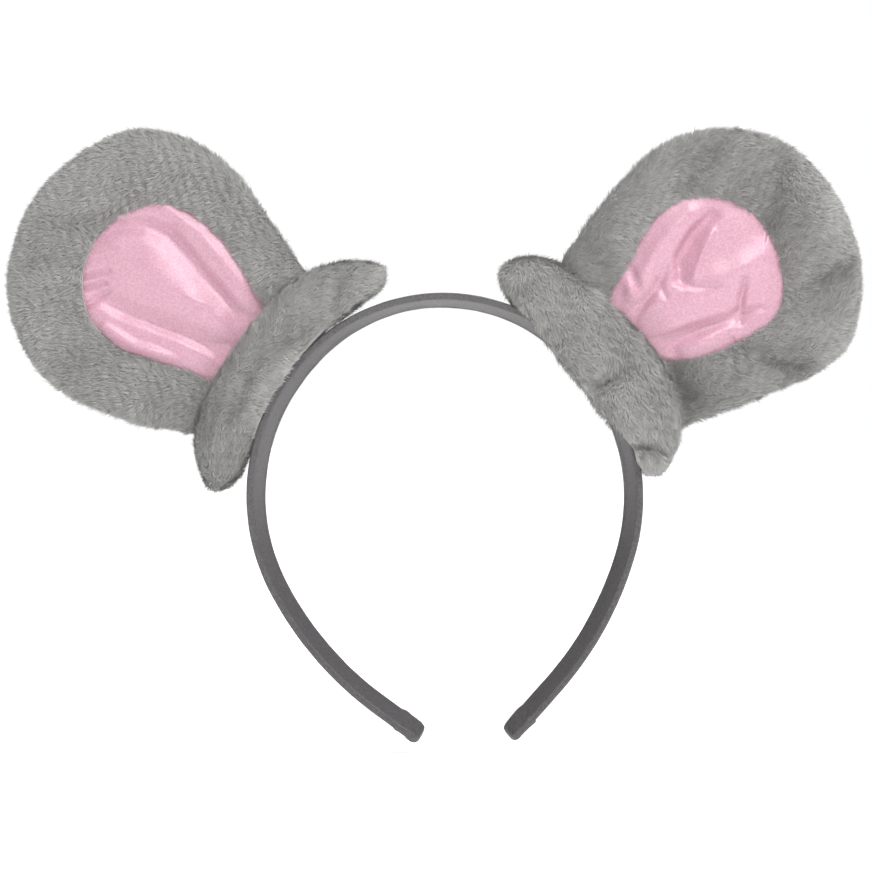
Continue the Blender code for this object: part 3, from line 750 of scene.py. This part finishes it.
def disc_grid(size):
    """A square grid mapped smoothly onto the unit disc, as angle and radius."""
    line = np.linspace(-1.0, 1.0, size)
    x, y = np.meshgrid(line, line)
    x, y = x.ravel(), y.ravel()
    wide = np.abs(x) > np.abs(y)
    radius = np.where(wide, x, y)
    safe = np.where(np.abs(radius) < 1e-9, 1.0, radius)
    angle = np.where(wide, math.pi / 4.0 * y / safe, math.pi / 2.0 - math.pi / 4.0 * x / safe)
    return np.where(radius < 0, angle + math.pi, angle), np.abs(radius)


def satin_shape(side):
    """The satin's in-plane places and its folded depth before the cloth settles."""
    angle, share = disc_grid(SATIN_GRID)
    hole = radii_about(EAR_CENTRE[side], closed_curve(INSERT_OUTLINE[side]), angle) + SATIN_TUCK
    uv = around(side, hole * share, angle)
    outline = closed_curve(EAR_OUTLINE[side])
    foot = squeezed_foot(uv[:, 1])
    edge = (puffed(inset_of(uv, outline)) - HOLE_FALL) * foot - SATIN_DROP
    crown = SATIN_CROWN * foot * (1.0 - share ** 2) ** 0.6 + 0.2 * waves(uv, 15.0, SEEDS[side]["satin"])
    relief = SATIN_FOLD_DEPTH * smoothstep((1.0 - share) * SATIN_FOLD_RATE + 0.3)
    relief = relief * folds(uv, SATIN_FOLDS[side], SATIN_FOLD_WIDTH)
    relief = np.where(relief > 0, SATIN_ROOM * np.tanh(relief / SATIN_ROOM), relief)
    dent = PLUSH_FOLD_DEPTH * folds(uv, PLUSH_FOLDS[side], PLUSH_FOLD_WIDTH)
    dent = PLUSH_ROOM * np.tanh(dent / PLUSH_ROOM)
    return uv, edge + SATIN_LIFT * (1.0 - share ** 6) + crown - relief - dent * share ** 3, share


def settle_cloth(item, rest, pinned):
    """Runs the cloth from its folded start, with slack in the sheet, and keeps the result in the mesh.

    No point keeps more than SATIN_CAP of movement, so the cloth softens the folds but doesn't make them.
    """
    start = np.array([v.co[:] for v in item.data.vertices])
    item.shape_key_add(name="Start", from_mix=False)
    slack = item.shape_key_add(name="Cut", from_mix=False)
    for point, place in zip(slack.data, rest):
        point.co = place
    slack.value = 0.0
    group = item.vertex_groups.new(name="Edge")
    group.add([int(i) for i in np.nonzero(pinned)[0]], 1.0, "REPLACE")
    cloth = item.modifiers.new("Cloth", "CLOTH")
    settings = cloth.settings
    settings.quality = 8
    settings.mass = 0.15
    settings.tension_stiffness = 25.0
    settings.compression_stiffness = 25.0
    settings.shear_stiffness = 8.0
    settings.bending_stiffness = 0.12
    settings.tension_damping = 12.0
    settings.compression_damping = 12.0
    settings.air_damping = 4.0
    settings.vertex_group_mass = "Edge"
    settings.rest_shape_key = slack
    settings.effector_weights.gravity = 0.0
    cloth.point_cache.frame_start = 1
    cloth.point_cache.frame_end = SIM_FRAMES
    for moment in range(1, SIM_FRAMES + 1):
        bpy.context.scene.frame_set(moment)
    seen = item.evaluated_get(bpy.context.evaluated_depsgraph_get())
    settled = np.array([v.co[:] for v in seen.data.vertices])
    moved = settled - start
    size = np.linalg.norm(moved, axis=1)
    cap = SATIN_CAP * MM * SIM_SCALE
    moved *= np.minimum(1.0, cap / np.maximum(size, 1e-9))[:, None]
    item.modifiers.remove(cloth)
    item.shape_key_clear()
    item.data.vertices.foreach_set("co", (start + moved).reshape(-1))
    bpy.context.scene.frame_set(1)


def build_satin(side):
    """The pink satin inside the ear: a slack, folded sheet held all round by its seam."""
    uv, depth, share = satin_shape(side)
    floor = -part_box("ear_wadding_" + side)[0].y / MM + WADDING_ROOM
    hold = smoothstep((1.0 - share) * SATIN_HOLD_RATE)
    depth = np.maximum(depth, (floor * squeezed_foot(uv[:, 1]) + SATIN_ROOM) * hold - SATIN_ROOM)
    size = SATIN_GRID
    points = ear_world(side, uv[:, 0], uv[:, 1], depth)
    corner = np.arange(size * size).reshape(size, size)
    faces = np.stack([corner[:-1, :-1], corner[:-1, 1:], corner[1:, 1:], corner[1:, :-1]], -1).reshape(-1, 4)
    item = make_mesh("satin_insert_cloth_" + side, points * SIM_SCALE, faces, [SATIN_PINK])
    face_forward(item, FRONT)
    middle = points.mean(0)
    rest = (middle + (points - middle) * SATIN_SLACK) * SIM_SCALE
    settle_cloth(item, rest, share > PINNED_SHARE)
    for vertex in item.data.vertices:
        vertex.co = vertex.co / SIM_SCALE
    finer = item.modifiers.new("Finer", "SUBSURF")
    finer.levels = 2
    finer.render_levels = 2
    bake_modifiers(item)
    return item


def bake_modifiers(item):
    """Replaces the mesh by what its modifiers make of it."""
    seen = item.evaluated_get(bpy.context.evaluated_depsgraph_get())
    made = bpy.data.meshes.new_from_object(seen)
    item.modifiers.clear()
    old = item.data
    item.data = made
    bpy.data.meshes.remove(old)
    made.polygons.foreach_set("use_smooth", [True] * len(made.polygons))


def above_hole(side):
    """Pile doesn't grow on the cloth's turned-in edge under the satin."""
    outline = closed_curve(INSERT_OUTLINE[side]) - np.array(EAR_CENTRE[side])

    def keep(roots, normals):
        uv = ear_local(side, roots)[:, :2] - np.array(EAR_CENTRE[side])
        limit = radii_about((0, 0), outline, np.arctan2(uv[:, 1], uv[:, 0]))
        return (np.hypot(*uv.T) > limit - 0.45) & (normals @ FRONT > -0.2)

    return keep


def crease_shade_depth(side, table):
    """How deep in a fold of the table each root of pile is, for the shade painted into the pile's folds."""
    def depth(roots):
        return folds(ear_local(side, roots)[:, :2], table[side], PLUSH_FOLD_WIDTH)

    return depth


def nap_of(side, u, v):
    """A nap direction given in the ear's frame."""
    here = ear_world(side, 0.0, 0.0, 0.0)
    there = ear_world(side, u, v, 0.0)
    return (there - here) / np.linalg.norm(there - here)


def join_ear(item):
    """Bakes the piece's placement into its mesh."""
    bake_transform(item)


def build_ear(side):
    seed = SEEDS[side]["ear_pile"]
    ring, seam = build_ear_ring(side)
    back = build_ear_back(side)
    insert = build_satin(side)
    nap = nap_of(side, *EAR_NAP[side])
    # The ring's pile is painted darker in the plush folds, as painted crease shade
    ring_pile = grow_pile("ear_ring_pile_" + side, ring, PILE_PER_MM2["ear_ring"], nap, seed,
                          above_hole(side), crease_shade_depth(side, PLUSH_FOLDS))
    back_pile = grow_pile("ear_back_pile_" + side, back, PILE_PER_MM2["ear_back"], nap,
                          seed + BACK_PILE_SEED_STEP)
    for item in (ring, seam, back, insert, ring_pile, back_pile):
        join_ear(item)
    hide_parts("ear_front_ring_" + side)
    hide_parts("satin_seam_" + side)
    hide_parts("ear_back_" + side)
    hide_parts("satin_insert_" + side)


# ---- cuffs ----

CUFF_RINGS = 130
CUFF_SIDES = 88
CUFF_HALF_DEPTH = 10.8
CUFF_UPPER_POWER = 2.2
CUFF_LOWER_POWER = 3.4
CUFF_SKIN = 0.4
CUFF_END_SHARE = 0.14
CUFF_FOLD_DEPTH = 1.3
NOTCH_HALF = 6.6
NOTCH_WALL = 1.0
NOTCH_ROOF = 1.0
NOTCH_GAP = 0.3
CUFF_END_TRIM = 0.8
BARE_ABOVE_BAND = 2.5


def band_outer_height(side):
    """The u and v of the band's outer face in the ear's frame, sorted along u."""
    frames = [band_frame(SIDES[side] * length) for length in np.linspace(0.0, 110.0, 111)]
    outer = np.array([point + through * BAND_THICKNESS for point, _, through in frames])
    rows = ear_local(side, outer * MM)[:, :2]
    return rows[np.argsort(rows[:, 0])]


def cuff_section(low, high, half_depth, floor):
    """One closed section of the cuff, with a notch that leaves the band's inner face open."""
    turn = angles_round(CUFF_SIDES) + math.pi / CUFF_SIDES
    c, s = np.cos(turn), np.sin(turn)
    middle, half = (low + high) / 2.0, (high - low) / 2.0
    power = np.where(s < 0, CUFF_LOWER_POWER, CUFF_UPPER_POWER)
    d = half_depth * np.sign(c) * np.abs(c) ** (2.0 / power)
    v = middle + half * np.sign(s) * np.abs(s) ** (2.0 / power)
    inside = 1.0 - smoothstep((np.abs(d) - NOTCH_HALF) / NOTCH_WALL)
    raised = np.maximum(v, floor + NOTCH_GAP)
    raised = np.minimum(raised, high - NOTCH_ROOF)
    v = np.where(s < 0, v + (raised - v) * inside, v)
    return v, d


def build_cuff(side):
    """The plush crescent over the band: a stuffed roll with drawn-in ends and soft folds."""
    seed = SEEDS[side]["cuff"]
    rows = np.array(CUFF_STATIONS[side], float)
    floor_rows = band_outer_height(side)
    middle = (rows[0, 0] + rows[-1, 0]) / 2.0
    reach = (rows[-1, 0] - rows[0, 0]) / 2.0 - CUFF_END_TRIM
    rings = []
    for turn in np.linspace(-math.pi / 2.0, math.pi / 2.0, CUFF_RINGS):
        u = middle + reach * math.sin(turn)
        low = np.interp(u, rows[:, 0], rows[:, 1]) + CUFF_SKIN
        high = np.interp(u, rows[:, 0], rows[:, 2]) - CUFF_SKIN
        closing = math.sqrt(max(math.cos(turn), 0.0))
        past = min(max((abs(math.sin(turn)) - 1.0) / CUFF_END_SHARE + 1.0, 0.0), 1.0)
        narrow = 0.08 + 0.92 * math.sqrt(1.0 - past ** 2)
        centre, half = (low + high) / 2.0, (high - low) / 2.0 * narrow
        depth = min(CUFF_HALF_DEPTH * (0.2 + 0.8 * closing), 0.95 * (high - low)) * narrow
        floor = np.interp(u, floor_rows[:, 0], floor_rows[:, 1])
        v, d = cuff_section(centre - half, centre + half, depth, floor)
        rings.append(np.stack([np.full(CUFF_SIDES, u), v, d], 1))
    shape = np.concatenate(rings)
    outer = shape[:, 2] > 0
    uv = shape[:, :2]
    dent = CUFF_FOLD_DEPTH * folds(uv, CUFF_FOLDS[side]) * np.where(outer, 1.0, 0.4)
    lumps = 0.55 * waves(shape, 26.0, seed) + 0.28 * waves(shape, 9.0, seed + 5)
    shape[:, 2] -= np.sign(shape[:, 2]) * dent * smoothstep(np.abs(shape[:, 2]) / 4.0)
    shape[:, 2] += np.sign(shape[:, 2]) * lumps * smoothstep(np.abs(shape[:, 2]) / 5.0)
    points = ear_world(side, shape[:, 0], shape[:, 1], shape[:, 2])
    cloth = make_mesh("ear_cuff_cloth_" + side, points, capped(rings), [PLUSH_BASE])
    outward(cloth)
    nap = nap_of(side, *CUFF_NAP)
    # Cuff pile: painted darker in its folds as crease shade, and given the lighter cuff tone as painted
    # light
    pile = grow_pile("ear_cuff_pile_" + side, cloth, PILE_PER_MM2["cuff"], nap,
                     seed + CUFF_PILE_SEED_STEP, off_the_band(side), crease_shade_depth(side, CUFF_FOLDS), CUFF_LIT_TONE)
    for item in (cloth, pile):
        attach(item, "crown")
    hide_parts("ear_cuff_" + side)


def off_the_band(side):
    """No pile grows in the notch, where the cuff meets the band."""
    floor_rows = band_outer_height(side)

    def keep(roots, _):
        u, v, d = ear_local(side, roots).T
        floor = np.interp(u, floor_rows[:, 0], floor_rows[:, 1])
        return ~((np.abs(d) < NOTCH_HALF + NOTCH_WALL * 0.5) & (v < floor + BARE_ABOVE_BAND))

    return keep


# ---- satin band ----

BAND_STEP = 1.1
BAND_SIDES = 56
BAND_POWER = 5.0
INNER_SLOPE = 0.55
SLOPE_START = 0.7
BEVEL_START = 0.86
BEVEL_RISE = 1.1
SEAM_PLACE = 3.4
SEAM_HEIGHT = 0.3
SEAM_WIDTH = 0.3
SEAM_FADE = 2.4
PLUG_LENGTH = 1.5
PLUG_GAP = 0.12
PLUG_WRINKLE = 0.05
COVER_WRINKLE = 0.03
TIP_WRINKLE = 0.28
COVER_STOP = 4.0
TIP_RINGS = 34
TIP_ROUND = 3.0
TIP_LIP = 1.5
TIP_SWELL = (0.05, 0.15)
TIP_END_WIDTH = 0.45
TIP_END_THICKNESS = 0.25


def strip_ring(length, half_width, low, high, seed, wrinkle):
    """A rounded section of the strip. Its inner face slopes to a bevelled front edge and holds the seam."""
    point, across, through = band_frame(length)
    turn = angles_round(BAND_SIDES)
    c, s = np.cos(turn), np.sin(turn)
    a = half_width * np.sign(c) * np.abs(c) ** (2.0 / BAND_POWER)
    middle, half = (low + high) / 2.0, (high - low) / 2.0
    b = half * np.sign(s) * np.abs(s) ** (2.0 / BAND_POWER)
    place = SEAM_PLACE + 0.35 * math.sin(length / 17.0) + 0.2 * math.sin(length / 5.3)
    seam = SEAM_HEIGHT * smoothstep((a - place) / SEAM_WIDTH) * (1.0 - smoothstep((a - place) / SEAM_FADE))
    towards_front = -a / half_width
    slope = INNER_SLOPE * np.clip((towards_front + SLOPE_START) / (BEVEL_START + SLOPE_START), 0.0, 1.0)
    slope += BEVEL_RISE * smoothstep((towards_front - BEVEL_START) / (1.0 - BEVEL_START))
    b = b + (slope * (1.0 - b / half) / 2.0) - np.where(s < 0, seam, 0.0)
    keys = np.stack([np.full(BAND_SIDES, length), a * 2.2 + np.sign(s) * 6.0, b * 0.5], 1)
    fine = wrinkle * (waves(keys, 9.0, seed) + 0.5 * waves(keys, 3.5, seed + 1))
    grow = 1.0 + fine / half
    return (point + np.outer(a, across) + np.outer(middle + b * grow, through)) * MM


def band_places(start, end):
    return np.linspace(start, end, max(2, int(abs(end - start) / BAND_STEP) + 1))


def plug_ring(length):
    """A slightly smaller section, inside the neighbouring piece of the cover."""
    return strip_ring(length, BAND_WIDTH / 2.0 - PLUG_GAP, PLUG_GAP, BAND_THICKNESS - PLUG_GAP,
                      BAND_SEED, PLUG_WRINKLE)


def build_band_piece(name, start, end):
    """A length of the satin cover whose ends reach a little way into its neighbours."""
    way = math.copysign(PLUG_LENGTH, end - start)
    rings = [strip_ring(s, BAND_WIDTH / 2.0, 0.0, BAND_THICKNESS, BAND_SEED, COVER_WRINKLE)
             for s in band_places(start, end)]
    rings = [plug_ring(start - way)] + rings + [plug_ring(end + way)]
    item = make_mesh(name, np.concatenate(rings), capped(rings), [GREY_SATIN])
    outward(item)
    return item


def bend_between(item, side):
    """Finds the band's points on either side of the arm's hinge but doesn't use them; only bakes the piece's
    placement into its mesh.
    """
    joint = JOINTS["arm_flex_" + side]
    pivot = np.array(joint["pos_m"])
    near = min(np.linspace(60.0, 100.0, 81), key=lambda s: distance_to(s * SIDES[side], pivot))
    start = band_frame(SIDES[side] * (near - BEND_REACH))[0] * MM
    end = band_frame(SIDES[side] * (near + BEND_REACH))[0] * MM
    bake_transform(item)


def distance_to(length, place):
    return float(np.linalg.norm(band_frame(length)[0] * MM - place))


def build_tip(side):
    """The satin's end: folded back over itself and glued, so fuller than the rest, with a rounded tip."""
    sign = SIDES[side]
    end = ARM_END[side]
    rings = []
    for share in 1.0 - np.cos(np.linspace(0.0, math.pi / 2.0, TIP_RINGS)):
        place = end - TIP_LENGTH * (1.0 - share)
        left = (end - place) / TIP_ROUND
        round_off = math.sqrt(max(1.0 - max(1.0 - left, 0.0) ** 2, 0.0))
        lip = smoothstep((place - end + TIP_LENGTH) / TIP_LIP)
        swell = TIP_SWELL[0] + TIP_SWELL[1] * lip
        half = (BAND_WIDTH / 2.0 + swell) * (TIP_END_WIDTH + (1.0 - TIP_END_WIDTH) * round_off)
        thick = (BAND_THICKNESS / 2.0 + swell) * (TIP_END_THICKNESS + (1.0 - TIP_END_THICKNESS) * round_off)
        middle = BAND_THICKNESS / 2.0
        rings.append(strip_ring(sign * place, half, middle - thick, middle + thick,
                                SEEDS[side]["tip"], TIP_WRINKLE))
    item = make_mesh("satin_tip_fold_" + side, np.concatenate(rings), capped(rings), [GREY_SATIN])
    outward(item)
    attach(item, "arm_" + side)
    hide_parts("satin_tip_" + side)


def build_band():
    crown = build_band_piece("satin_band_crown", -SPLIT["left"], SPLIT["right"])
    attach(crown, "crown")
    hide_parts("satin_cover_crown")
    for side, sign in SIDES.items():
        arm = build_band_piece("satin_band_" + side, sign * SPLIT[side], sign * (ARM_END[side] - COVER_STOP))
        bend_between(arm, side)
        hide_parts("satin_cover_arm_" + side)
        build_tip(side)


def dress_inside():
    """Materials for the CAD nodes that stay: the spring strip, fillings, glue and threads."""
    for name, node in frame["nodes"].items():
        for word, made in INSIDE.items():
            if word in name:
                node.data.materials.clear()
                node.data.materials.append(made)


# ---- studio ----

CAMERA_DISTANCE = 0.70
VIEW_WIDTH = 0.2976
VIEW_CENTRE = (-0.0024, -0.0448)
SENSOR = 36.0
FLOOR_DROP = 0.004
BACK_GLOW = 1.02
DIM_GLOW = 0.04
TOP_GLOW = 0.8
BACK_EDGE = (0.84, 0.96)
TOP_EDGE = (0.45, 1.0)
HORIZON_EDGE = (0.06, 0.13)
FLOOR_REACH = 20.0
FLOOR_GLOW = (0.7, 0.95)
FLOOR_GLOW_EDGE = (0.10, 0.35)
FLOOR_COLOUR = (0.86, 0.86, 0.86, 1.0)
WHITE = (1.0, 1.0, 1.0, 1.0)
LIGHT_AIM = (0, 0, -0.04)
# Area lights as (place, size, watts)
LIGHTS = {
    "key": ((0.42, -0.62, 0.95), 0.36, 15.0),
    "fill": ((-0.80, -0.80, 0.25), 0.30, 1.2),
}


def add_area(name, place, size, power):
    light = bpy.data.lights.new(name, "AREA")
    light.shape = "SQUARE"
    light.size = size
    light.energy = power
    item = bpy.data.objects.new(name, light)
    item.location = place
    item.rotation_euler = (Vector(LIGHT_AIM) - Vector(place)).to_track_quat("-Z", "Y").to_euler()
    bpy.context.scene.collection.objects.link(item)


def glow_between(tree, value, start, stop, low, high):
    """A value that runs from low at start to high at stop."""
    ramp = tree.nodes.new("ShaderNodeMapRange")
    for socket, number in (("From Min", start), ("From Max", stop), ("To Min", low), ("To Max", high)):
        ramp.inputs[socket].default_value = number
    tree.links.new(value, ramp.inputs["Value"])
    return ramp.outputs["Result"]


def build_world():
    """A light tent: white behind, bright overhead and along the horizon, nearly dark elsewhere."""
    world = bpy.data.worlds.new("studio")
    bpy.context.scene.world = world
    world.use_nodes = True
    tree = world.node_tree
    place = tree.nodes.new("ShaderNodeTexCoord")
    parts = tree.nodes.new("ShaderNodeSeparateXYZ")
    tree.links.new(place.outputs["Generated"], parts.inputs[0])
    height = tree.nodes.new("ShaderNodeMath")
    height.operation = "ABSOLUTE"
    tree.links.new(parts.outputs["Z"], height.inputs[0])
    glows = [glow_between(tree, parts.outputs["Y"], *BACK_EDGE, DIM_GLOW, BACK_GLOW),
             glow_between(tree, parts.outputs["Z"], *TOP_EDGE, DIM_GLOW, TOP_GLOW),
             glow_between(tree, height.outputs["Value"], *HORIZON_EDGE, BACK_GLOW, DIM_GLOW)]
    level = glows[0]
    for glow in glows[1:]:
        brighter = tree.nodes.new("ShaderNodeMath")
        brighter.operation = "MAXIMUM"
        tree.links.new(level, brighter.inputs[0])
        tree.links.new(glow, brighter.inputs[1])
        level = brighter.outputs["Value"]
    tree.links.new(level, tree.nodes["Background"].inputs["Strength"])
    tree.nodes["Background"].inputs["Color"].default_value = WHITE


def build_floor():
    """A wide pale floor just under the object, glowing more with distance so that it fades into the tent."""
    floor_mesh = bpy.data.meshes.new("floor")
    low = cad_box[0][2] - FLOOR_DROP
    corners = [(FLOOR_REACH * x, FLOOR_REACH * y, low) for x, y in ((-1, -1), (1, -1), (1, 1), (-1, 1))]
    floor_mesh.from_pydata(corners, [], [(0, 1, 2, 3)])
    floor = bpy.data.objects.new("floor", floor_mesh)
    bpy.context.scene.collection.objects.link(floor)
    made, tree, _, shader = new_material("pale_floor")
    shader.inputs["Base Color"].default_value = FLOOR_COLOUR
    shader.inputs["Roughness"].default_value = 0.9
    shader.inputs["Emission Color"].default_value = WHITE
    place = tree.nodes.new("ShaderNodeTexCoord")
    far = tree.nodes.new("ShaderNodeVectorMath")
    far.operation = "LENGTH"
    tree.links.new(place.outputs["Object"], far.inputs[0])
    glow = glow_between(tree, far.outputs["Value"], *FLOOR_GLOW_EDGE, *FLOOR_GLOW)
    tree.links.new(glow, shader.inputs["Emission Strength"])
    floor_mesh.materials.append(made)


def build_camera():
    camera_data = bpy.data.cameras.new("camera")
    camera_data.sensor_width = SENSOR
    camera_data.lens = SENSOR * CAMERA_DISTANCE / VIEW_WIDTH
    camera = bpy.data.objects.new("camera", camera_data)
    camera.location = (VIEW_CENTRE[0], -CAMERA_DISTANCE, VIEW_CENTRE[1])
    camera.rotation_euler = (math.pi / 2.0, 0.0, 0.0)
    bpy.context.scene.collection.objects.link(camera)
    bpy.context.scene.camera = camera


def build_studio():
    build_floor()
    build_world()
    for name, (place, size, power) in LIGHTS.items():
        add_area(name, place, size, power)
    build_camera()
    bpy.context.scene.view_settings.view_transform = "Standard"


for ear_side in SIDES:
    build_ear(ear_side)
    build_cuff(ear_side)
build_band()
dress_inside()
build_studio()
